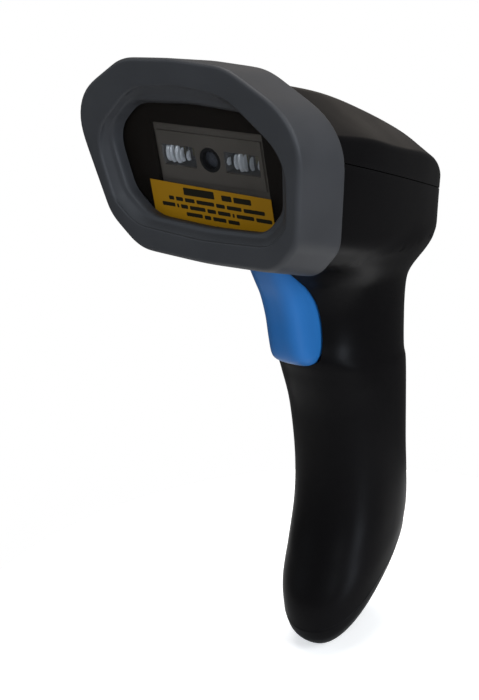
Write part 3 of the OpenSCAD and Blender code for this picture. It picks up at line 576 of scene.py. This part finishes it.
def moulded(name, colour, rough, grain_mm=0.35, grain=0.12, level=0.4, wear=0.0, mottle=0.12, ior=1.45):
    """Moulded plastic or rubber: fine grain, slow changes of tone and gloss, worn edges."""
    n = Nodes(name)
    fine = n.noise(1 / (grain_mm * MM), 3.0, 0.6)
    slow = n.noise(45.0, 4.0, 0.55)
    tone = n.tones(n.spread(slow, 0.0, 1.0), shade(colour, 1 - mottle), shade(colour, 1 + mottle))
    if wear:
        edge = n.node("ShaderNodeNewGeometry").outputs["Pointiness"]
        worn = n.spread(edge, 0.0, wear, WORN_FROM, WORN_TO)
        tone = n.tones(worn, tone, [min(1, c * 1.9 + 0.01) for c in colour])
    n.set(Base_Color=tone, Roughness=n.spread(slow, rough - 0.04, rough + 0.04),
          Normal=n.bump(fine, grain, 0.05))
    n.shader.inputs["Specular IOR Level"].default_value = level
    n.shader.inputs["IOR"].default_value = ior
    return n.material


def metal(name, colour, rough, scale=900.0):
    """Metal with fine brushed lines."""
    n = Nodes(name)
    brushed = n.noise(scale, 2.0, 0.5, (1.0, 1.0, 0.08))
    n.set(Base_Color=n.tones(n.spread(brushed, 0.0, 1.0), shade(colour, 0.85), colour),
          Metallic=1.0, Roughness=n.spread(brushed, rough - 0.06, rough + 0.08),
          Normal=n.bump(brushed, 0.1, 0.02))
    return n.material


def tinted(name, colour, alpha, level):
    """Clear or smoked plastic, seen through by its alpha."""
    n = Nodes(name)
    faint = n.noise(120.0, 3.0)
    n.set(Base_Color=(*colour, 1), Roughness=n.spread(faint, 0.03, 0.07), Alpha=alpha)
    n.shader.inputs["Specular IOR Level"].default_value = level
    return n.material


# Moulded materials: colour, roughness, grain size in mm, grain, gloss level, wear, mottle and IOR.
MOULDED = {
    "bezel_rubber": ((0.037, 0.0375, 0.040), 0.50, 0.4, 0.12, 0.22, 0.12),
    "housing_black": ((0.0036, 0.0033, 0.0035), 0.36, 0.3, 0.08, 0.20, 0.1, 0.12, 1.20),
    "frame_plastic": ((0.017, 0.0135, 0.011), 0.5, 0.5, 0.02, 0.10),
    "trigger_blue": ((0.0138, 0.104, 0.300), 0.42, 0.3, 0.06, 0.25, 0.1, 0.06),
    "engine_plastic": ((0.160, 0.140, 0.120), 0.5, 0.3, 0.03, 0.3),
    "chip_black": ((0.012, 0.012, 0.013), 0.45, 0.2, 0.1),
    "board_green": ((0.010, 0.12, 0.05), 0.35, 0.8, 0.15),
    "ribbon_amber": ((0.40, 0.14, 0.02), 0.3, 0.6, 0.08),
    "connector_ivory": ((0.70, 0.65, 0.52), 0.5, 0.3, 0.1),
    "plunger_red": ((0.45, 0.03, 0.02), 0.4, 0.3, 0.1),
    "battery_wrap": ((0.04, 0.15, 0.34), 0.25, 0.8, 0.08),
    "foam_grey": ((0.10, 0.10, 0.10), 0.9, 0.8, 0.6),
    "wire_red": ((0.42, 0.02, 0.02), 0.4, 0.3, 0.08),
    "wire_black": ((0.02, 0.02, 0.02), 0.4, 0.3, 0.08),
    "emitter_yellow": ((0.25, 0.20, 0.08), 0.35, 0.2, 0.08),
    "caution_yellow": ((0.275, 0.133, 0.0035), 0.4, 0.5, 0.03, 0.2, 0.0, 0.05),
    "caution_print": ((0.010, 0.009, 0.005), 0.5, 0.3, 0.05, 0.1),
    # Bright white gloss for the ribs that paint the lenses' glints.
    "painted_glint_white": ((0.90, 0.92, 0.95), 0.2, 0.3, 0.05, 1.0, 0.0, 0.04, 1.6),
}
# Clear materials: colour, alpha and gloss level.
TINTED = {
    "clear_plastic": ((0.40, 0.43, 0.48), 0.10, 0.8),
    "lens_glass": ((0.16, 0.17, 0.20), 0.5, 0.8),
    "window_tint": ((0.004, 0.0035, 0.003), 0.22, 0.10),
}
MATERIALS = {name: moulded(name, *row) for name, row in MOULDED.items()}
MATERIALS.update({name: tinted(name, *row) for name, row in TINTED.items()})
MATERIALS["plated_steel"] = metal("plated_steel", (0.60, 0.60, 0.61), 0.30)


def finish_piece(obj, slot, body, *nodes, material=None, angle=35):
    """Material (the slot's own unless another is named), shading and body, and hides the CAD nodes that a
    piece stands for.
    """
    smooth(obj, angle)
    obj.data.materials.clear()
    obj.data.materials.append(MATERIALS[material or slot])
    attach(obj, body)
    if nodes:
        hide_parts(*nodes)


# ---- Bumper, window and what shows through it ----

def bumper_rows():
    """Outlines and depths of the bumper: skirt, side, soft front edge, funnel, lip and flat back."""
    outer, flared, mouth, lip = (
        whole_outline(half, 10, 8, 3) for half in (BEZEL_HALF, SKIRT_HALF, MOUTH_HALF, LIP_HALF))
    rows = [(pulled_in(flared, inset), BEZEL_DEPTH) for inset in (SKIRT, SKIRT - 0.2, 0.35)]
    rows += [(pulled_in(flared, 0.10), BEZEL_DEPTH - 0.10), (flared, BEZEL_DEPTH - 0.40)]
    side_from, side_to = FRONT_EDGE_R + 0.1, BEZEL_DEPTH - 0.8
    for t in np.linspace(0, 1, 8)[::-1]:
        rows.append((outer * (1 - t) + flared * t, side_from + (side_to - side_from) * t))
    for angle in np.radians(np.arange(12, 91, 13)):
        inset, depth = FRONT_EDGE_R * (1 - math.cos(angle)), FRONT_EDGE_R * (1 - math.sin(angle))
        rows.append((pulled_in(outer, inset), depth))
    for angle in np.radians(np.arange(0, 79, 13)):
        turn = MOUTH_EDGE_R * (1 - math.sin(angle))
        rows.append((pulled_in(mouth, 0.35 - turn), MOUTH_EDGE_R * (1 - math.cos(angle))))
    rows += [(mouth * (1 - share) + lip * share, depth) for share, depth in FUNNEL_STEPS]
    rows += [
        (lip, WINDOW_DEPTH - 0.15),
        (pulled_in(outer, SKIRT + 0.9), WINDOW_DEPTH - 0.15),
        (pulled_in(outer, SKIRT), WINDOW_DEPTH + 0.6),
    ]
    return rows


def make_bumper():
    body = loft("bumper", [face_ring(ring, depth) for ring, depth in bumper_rows()], looped=True)
    for left in (-TAB_X - TAB_SIZE[0], TAB_X):
        add(body, [box("tab", (left, TAB_D, TAB_H), TAB_SIZE, head_point)])
    finish_piece(body, "bezel_rubber", "housing", "front_bezel", angle=50)


def plate(name, outline, front, back, chamfer=0.15):
    """A flat plate behind the bumper's face, with chamfered edges."""
    rings = [
        face_ring(pulled_in(outline, chamfer), front), face_ring(outline, front + chamfer),
        face_ring(outline, back - chamfer), face_ring(pulled_in(outline, chamfer), back),
    ]
    return loft(name, rings)


def make_window():
    outline = pulled_in(whole_outline(LIP_HALF, 8, 4), -WINDOW_REACH)
    panel = plate("scan_window", outline, WINDOW_DEPTH, WINDOW_DEPTH + WINDOW_T)
    finish_piece(panel, "window_tint", "housing", "window_panel")


def make_frame():
    """The black frame: a seat for the window, the clear rectangle, and screw wells and holes."""
    edge = pulled_in(whole_outline(BEZEL_HALF, 8, 4), SKIRT + 0.3)
    frame_plate = plate("window_frame", edge, WINDOW_DEPTH + 0.75, FRAME_DEPTH + FRAME_T)
    seat = pulled_in(whole_outline(LIP_HALF, 8, 4), -WINDOW_REACH - 0.15)
    cut(frame_plate, [
        plate("seat", seat, WINDOW_DEPTH - 1, FRAME_DEPTH, 0.05),
        box("hole", (-CLEAR_W / 2, WINDOW_DEPTH, CLEAR_LEVEL - CLEAR_H / 2),
            (CLEAR_W, FRAME_T + 6, CLEAR_H), face_point),
    ])
    h, back = FRAME_SCREW_H, FRAME_DEPTH + FRAME_T + 1
    for side in (-1, 1):
        x = side * FRAME_SCREW_X
        cut(frame_plate, [
            peg(face_point, (x, WINDOW_DEPTH - 1, h), (x, FRAME_DEPTH + 1.1, h), FRAME_WELL_R),
            peg(face_point, (x, WINDOW_DEPTH - 1, h), (x, back, h), SMALL_SCREW_R + 0.05),
            peg(face_point, (side * ENGINE_SCREW_X, FRAME_DEPTH + 0.6, LENS_LEVEL),
                (side * ENGINE_SCREW_X, back, LENS_LEVEL), SMALL_SCREW_R + THREAD_GAP),
        ])
    finish_piece(frame_plate, "frame_plastic", "housing", "front_frame")


def flat_sheet(name, outline, front, thickness):
    """A thin sheet in the plane of the face, from an outline of [x, h] points."""
    ring = np.asarray(outline, float)
    return loft(name, [face_point(ring[:, 0], np.full(len(ring), d), ring[:, 1])
                       for d in (front, front + thickness)])


def bar_outline(left, top, width, height, corner=0.18):
    """A rectangle with clipped corners, as [x, h] points."""
    x0, x1, h0, h1, c = left, left + width, top - height, top, corner
    return [(x0 + c, h0), (x1 - c, h0), (x1, h0 + c), (x1, h1 - c),
            (x1 - c, h1), (x0 + c, h1), (x0, h1 - c), (x0, h0 + c)]


def make_caution_strip():
    """A plain yellow film with dark bars in place of any print."""
    front = WINDOW_DEPTH - FILM_GAP - FILM_T
    film = flat_sheet("caution_film", STRIP_OUTLINE, front, FILM_T)
    finish_piece(film, "caution_yellow", "housing", "caution_strip")
    bars = []
    for top, height, start, lengths in BAR_ROWS:
        x = start
        for length in lengths:
            level = STRIP_TOP - top + STRIP_TILT * x
            bar = bar_outline(x, level, length, height)
            bars.append(flat_sheet("bar", bar, front + INK_SUNK - INK_T, INK_T))
            x += length + BAR_GAP
    finish_piece(join("caution_bars", bars), "caution_yellow", "housing", material="caution_print")


def make_painted_glints():
    """Bright rounded ribs inside the engine's two light pockets: painted glints for the lenses."""
    turns = np.linspace(0, math.pi, 9)
    ribs = []
    for left, width, reach in GLINT_RIBS:
        middle, half = left + width / 2, width / 2
        rings = []
        for level in np.linspace(-reach, reach, 9):
            bulge = RIB_LEAST + RIB_BULGE * math.sqrt(1 - (level / (reach + 0.2)) ** 2)
            x = middle - half * np.cos(turns)
            depth = ENGINE_FRONT + RIB_BACK - bulge * np.sin(turns)
            rings.append(face_point(x, depth, np.full(len(turns), LENS_LEVEL + level)))
        ribs.append(loft("rib", rings))
    # The ribs get a bright white gloss, so they show as painted glints through the lenses.
    finish_piece(join("painted_glint_ribs", ribs), "clear_plastic", "housing", material="painted_glint_white")


# ---- Housing ----

def outer_form():
    """The head and the grip as one solid, with a smooth fillet where they meet."""
    head = loft("head", [head_ring(row) for row in stations(HEAD, 10)])
    grip = loft("grip", [grip_ring(row) for row in stations(GRIP, 8)])
    graph = bpy.context.evaluated_depsgraph_get()
    trees = [BVHTree.FromObject(obj, graph) for obj in (head, grip)]
    outside = boolean(head, "UNION", grip)
    soften_joint(outside, trees, JOINT_FILLET)
    return outside


def hollow_form():
    """The room inside the head and the grip, which runs on past the foot."""
    inside = loft("inside", [head_ring(row, WALL, 0, 4, 2) for row in stations(HEAD, 2, 1, 8)]
                  + [head_ring(np.array(HEAD[0], float), WALL, -2, 4, 2)])
    hollow = loft("hollow", [grip_ring(np.array(GRIP[-1], float), WALL, 1, 40)]
                  + [grip_ring(row, WALL, 0, 40) for row in stations(GRIP, 2)])
    return boolean(inside, "UNION", hollow)


def parting_slab(low, height):
    """A block wider than the whole scanner, level with the parting plane."""
    return box("slab", (-60, -40, low), (120, 180, height), head_point)


def make_shells():
    """The top cover and the pistol-shaped housing, cut from one smooth outer form."""
    outside = outer_form()
    cut(outside, [
        hollow_form(),
        box("before_rim", (-60, -60, -80), (120, 60 + RIM_DEPTH, 160), face_point),
    ])
    top = bpy.data.objects.new("top_shell", outside.data.copy())
    bpy.context.scene.collection.objects.link(top)
    # The first slab ends above the foot. The second keeps only what lies near the parting plane.
    low = PARTING_H + PARTING_GAP / 2 - SLAB_H
    cut(top, [parting_slab(low, SLAB_H)])
    boolean(top, "INTERSECT", parting_slab(low, 2 * SLAB_H))
    cut(outside, [parting_slab(PARTING_H - PARTING_GAP / 2, 80)])

    core = loft("core", [head_ring(row, CORE_INSET) for row in stations(HEAD, 3)])
    fit_out_cover(top, core)
    add(core, [loft("grip_core", [grip_ring(np.array(GRIP[-1], float), CORE_INSET, 3)]
                    + [grip_ring(row, CORE_INSET) for row in stations(GRIP, 2)])])
    fit_out_housing(outside, core)
    bpy.data.objects.remove(core)
    outside.name = "housing_shell"
    finish_piece(outside, "housing_black", "housing", "main_housing", angle=40)
    finish_piece(top, "housing_black", "housing", "top_cover", angle=40)


def housing_fittings():
    """Foot bosses and ribs, cover bosses, ears for the pivot pin, and rails for the switch's board."""
    _, pin_y, pin_z = PIVOT
    fittings = [peg(foot_point, (0, s, h + 0.3), (0, s, h + 7.3), FOOT_BOSS_R) for s, h in FOOT_SCREWS]
    fittings += [box("rib", corner, size, foot_point) for corner, size in FOOT_RIBS]
    before, after = SWITCH_BOARD_Y - RAIL_GAP - RAIL_T, SWITCH_BOARD_Y + SWITCH_BOARD_T + RAIL_GAP
    for side in (-1, 1):
        x, boss_x = side * EAR_X, side * COVER_SCREW_X
        rail_left = RAIL_X if side > 0 else -RAIL_X - RAIL_W
        fittings += [
            peg(head_point, (boss_x, COVER_SCREW_D, -30), (boss_x, COVER_SCREW_D, PARTING_H - 0.2),
                COVER_BOSS_R),
            peg(plain_point, (x - EAR_T / 2, pin_y, pin_z), (x + EAR_T / 2, pin_y, pin_z), EAR_R),
            box("ear", (x - EAR_T / 2, pin_y - EAR_R + 0.01, pin_z - EAR_DROP),
                (EAR_T, 2 * EAR_R - 0.02, EAR_DROP)),
            box("rail", (rail_left, before, RAIL_LOW), (RAIL_W, RAIL_T, RAIL_LEN)),
            box("rail", (rail_left, after, RAIL_LOW), (RAIL_W, RAIL_T, RAIL_LEN)),
        ]
    return fittings


def fit_out_housing(shell, core):
    """The housing's fittings, held within the core, then its slot, the pin's bore and screw holes."""
    _, pin_y, pin_z = PIVOT
    add(shell, [peg(face_point, (x, RIM_DEPTH + 0.02, FRAME_SCREW_H), (x, RIM_DEPTH + 7, FRAME_SCREW_H),
                    FRAME_BOSS_R) for x in (-FRAME_SCREW_X, FRAME_SCREW_X)])
    fittings = housing_fittings()
    for fitting in fittings:
        boolean(fitting, "INTERSECT", core, keep=True)
    add(shell, fittings)
    cut(shell, [trigger_slot(), peg(plain_point, (-20, pin_y, pin_z), (20, pin_y, pin_z), PIN_R + PIN_GAP)])
    for side in (-1, 1):
        x, screw_x = side * COVER_SCREW_X, side * FRAME_SCREW_X
        cut(shell, [
            peg(head_point, (x, COVER_SCREW_D, -40), (x, COVER_SCREW_D, -24), COVER_WELL_R),
            peg(head_point, (x, COVER_SCREW_D, -40), (x, COVER_SCREW_D, 10), COVER_SCREW_R + SHANK_GAP),
            peg(face_point, (screw_x, RIM_DEPTH - 1, FRAME_SCREW_H),
                (screw_x, RIM_DEPTH + 6.5, FRAME_SCREW_H), SMALL_SCREW_R + THREAD_GAP),
        ])
    cut(shell, [peg(foot_point, (0, s, h), (0, s, h + 4.6), SMALL_SCREW_R + THREAD_GAP)
                for s, h in FOOT_SCREWS])


def fit_out_cover(shell, core):
    """Screw bosses, the posts that carry the main board, and the hole for the status light."""
    low = PARTING_H + 0.1
    bosses = [(side * COVER_SCREW_X, COVER_SCREW_D) for side in (-1, 1)]
    pegs = [peg(head_point, (x, d, low), (x, d, low + 20), COVER_BOSS_R) for x, d in bosses]
    pegs += [peg(head_point, (x, d, BOARD_TOP), (x, d, BOARD_TOP + 30), BOARD_POST_R)
             for x, d in BOARD_POSTS]
    for extra in pegs:
        boolean(extra, "INTERSECT", core, keep=True)
    add(shell, pegs)
    cut(shell, [peg(head_point, (x, d, low - 1), (x, d, low + 7.9), COVER_SCREW_R + THREAD_GAP)
                for x, d in bosses])
    cut(shell, [peg(head_point, (x, d, BOARD_TOP - 1), (x, d, BOARD_TOP + 5), SMALL_SCREW_R + THREAD_GAP)
                for x, d in BOARD_POSTS])
    cut(shell, [peg(head_point, (0, LIGHT_D, 0), (0, LIGHT_D, 20), LIGHT_R + 0.1)])


def trigger_slot():
    """The slot that the trigger stands in, with rounded lower corners."""
    half, r = TRIGGER_HALF + TRIGGER_GAP, SLOT_CORNER_R
    arc = np.radians(np.linspace(0, 90, 9))
    right = [(half - r + r * math.sin(a), SLOT_LOW + r - r * math.cos(a)) for a in arc]
    ring = right + [(half, SLOT_HIGH), (-half, SLOT_HIGH)] + [(-x, z) for x, z in right[::-1]]
    ring = np.array(ring)
    return loft("slot", [plain_point(ring[:, 0], y, ring[:, 1]) for y in (SLOT_FRONT, 0.0)])


def make_foot():
    """The hollow bottom cap, with a tongue into the grip, screw bosses, board pins and the port's hole."""
    first, second, third, last = (np.array(row, float) for row in FOOT)
    rows = [grip_ring(first, inset, shift) for inset, shift in ((1.4, 0.1), (0.25, 0.1), (0.05, 0.3))]
    rows += [grip_ring(along(FOOT, s)) for s in np.linspace(0.2, 3, 29)]
    cap = loft("foot_cap", rows[::-1])
    cut(cap, [loft("hollow", [
        grip_ring(last, 1.6, -2), grip_ring(third, WALL, -0.6), grip_ring(second, WALL),
        grip_ring(first, WALL + 1.6), grip_ring(along(GRIP, 13.6), WALL + 1.6),
    ])])
    tongue = loft("tongue", [
        grip_ring(second, WALL - 0.4), grip_ring(first, WALL + 0.3),
        grip_ring(along(GRIP, 13.7), WALL + 0.8),
    ])
    cut(tongue, [loft("inner", [
        grip_ring(second, WALL + 1.4, 1), grip_ring(first, WALL + 1.6),
        grip_ring(along(GRIP, 13.5), WALL + 1.6),
    ])])
    add(cap, [tongue])
    for s, h in FOOT_SCREWS:
        add(cap, [peg(foot_point, (0, s, 1), (0, s, h + 0.1), FOOT_STAND_R)])
    for x in (-USB_PIN_X, USB_PIN_X):
        add(cap, [peg(foot_point, (x, USB_PIN_S, 1), (x, USB_PIN_S, 6), USB_STAND_R),
                  peg(foot_point, (x, USB_PIN_S, 1), (x, USB_PIN_S, 7.6), USB_PIN_R)])
    for s, h in FOOT_SCREWS:
        cut(cap, [peg(foot_point, (0, s, -1), (0, s, 1.6), FOOT_WELL_R),
                  peg(foot_point, (0, s, -1), (0, s, h + 2), SMALL_SCREW_R + SHANK_GAP)])
    cut(cap, [box("port", (-PORT_W / 2, PORT_S - PORT_H / 2, -1), (PORT_W, PORT_H, 5), foot_point)])
    finish_piece(cap, "housing_black", "housing", "bottom_cap", angle=50)


# ---- Trigger ----

def make_trigger():
    lever = loft("trigger_lever", [grip_ring(row, points=80) for row in stations(TRIGGER, 10)])
    cut(lever, [box("behind", (-20, TRIGGER_BACK, 60), (40, 40, 80))])
    flat, narrow = HUB_HALF - HUB_EDGE, HUB_R - HUB_EDGE
    hub = turned("hub", [(-HUB_HALF, narrow), (-flat, HUB_R), (flat, HUB_R), (HUB_HALF, narrow)],
                 PIVOT, (1, 0, 0))
    bore_r = PIN_R + 2 * PIN_GAP
    add(lever, [hub])
    cut(lever, [turned("bore", [(-15, bore_r), (15, bore_r)], PIVOT, (1, 0, 0))])
    finish_piece(lever, "trigger_blue", "trigger", "trigger", angle=50)


# ---- Stage ----

def make_floor():
    """A small pale floor, which glows to the camera only and so fades into the surroundings."""
    angles = 2 * math.pi * np.arange(96) / 96
    rim = np.stack([FLOOR_R * np.cos(angles), FLOOR_R * np.sin(angles), 0 * angles], 1)
    floor = mesh_object("studio_floor", rim / MM, [tuple(range(96))])
    n = Nodes("studio_floor")
    tone = n.tones(n.spread(n.noise(3.0, 3.0), 0.0, 1.0), (0.90, 0.90, 0.90), (0.92, 0.92, 0.92))
    n.set(Base_Color=tone, Roughness=0.9)
    n.shader.inputs["Specular IOR Level"].default_value = 0.0
    seen = n.node("ShaderNodeLightPath").outputs["Is Camera Ray"]
    n.set(Emission_Color=(1, 1, 1, 1), Emission_Strength=n.spread(seen, 0.0, FLOOR_GLOW, 0.0, 1.0))
    floor.data.materials.append(n.material)


def make_surroundings():
    """White to the camera, and a much weaker even light on the object."""
    world = bpy.data.worlds.new("studio")
    world.use_nodes = True
    tree = world.node_tree
    background = tree.nodes["Background"]
    path = tree.nodes.new("ShaderNodeLightPath")
    level = tree.nodes.new("ShaderNodeMapRange")
    level.inputs["To Min"].default_value = WORLD_LIGHT
    level.inputs["To Max"].default_value = 1.0
    tree.links.new(path.outputs["Is Camera Ray"], level.inputs["Value"])
    tree.links.new(level.outputs[0], background.inputs["Strength"])
    background.inputs["Color"].default_value = (1.0, 1.0, 1.0, 1)
    bpy.context.scene.world = world


def make_lamps():
    """Soft square lamps, all turned to the middle of the object."""
    target = Vector(LAMP_TARGET)
    for name, place, side, power, colour in LAMPS:
        lamp = bpy.data.lights.new(name, "AREA")
        lamp.size = side
        lamp.energy = power
        lamp.color = colour
        obj = bpy.data.objects.new(name, lamp)
        obj.location = place
        obj.rotation_euler = (target - Vector(place)).to_track_quat("-Z", "Y").to_euler()
        bpy.context.scene.collection.objects.link(obj)


def make_camera():
    lens = bpy.data.cameras.new("camera")
    lens.lens = CAMERA_LENS
    lens.clip_start = 0.02
    camera = bpy.data.objects.new("camera", lens)
    right, down, forward = Vector(CAMERA_RIGHT), Vector(CAMERA_DOWN), Vector(CAMERA_FORWARD)
    turned_to = Matrix((right, -down, -forward)).transposed().to_4x4()
    camera.matrix_world = Matrix.Translation(Vector(CAMERA_AT) * MM) @ turned_to
    bpy.context.scene.collection.objects.link(camera)
    bpy.context.scene.camera = camera


def make_stage():
    bpy.context.scene.view_settings.view_transform = "Standard"
    make_floor()
    make_surroundings()
    make_lamps()
    make_camera()


def paint_cad_nodes():
    """CAD nodes that keep their shape get the procedural material of their slot."""
    slots = {entry["node"]: entry["material_slot"] for entry in frame["record"]["subparts"]}
    for name, obj in frame["nodes"].items():
        obj.data.materials.clear()
        obj.data.materials.append(MATERIALS[slots[name]])
        smooth(obj, 30)


paint_cad_nodes()
make_bumper()
make_window()
make_frame()
make_caution_strip()
make_painted_glints()
make_shells()
make_foot()
make_trigger()
make_stage()
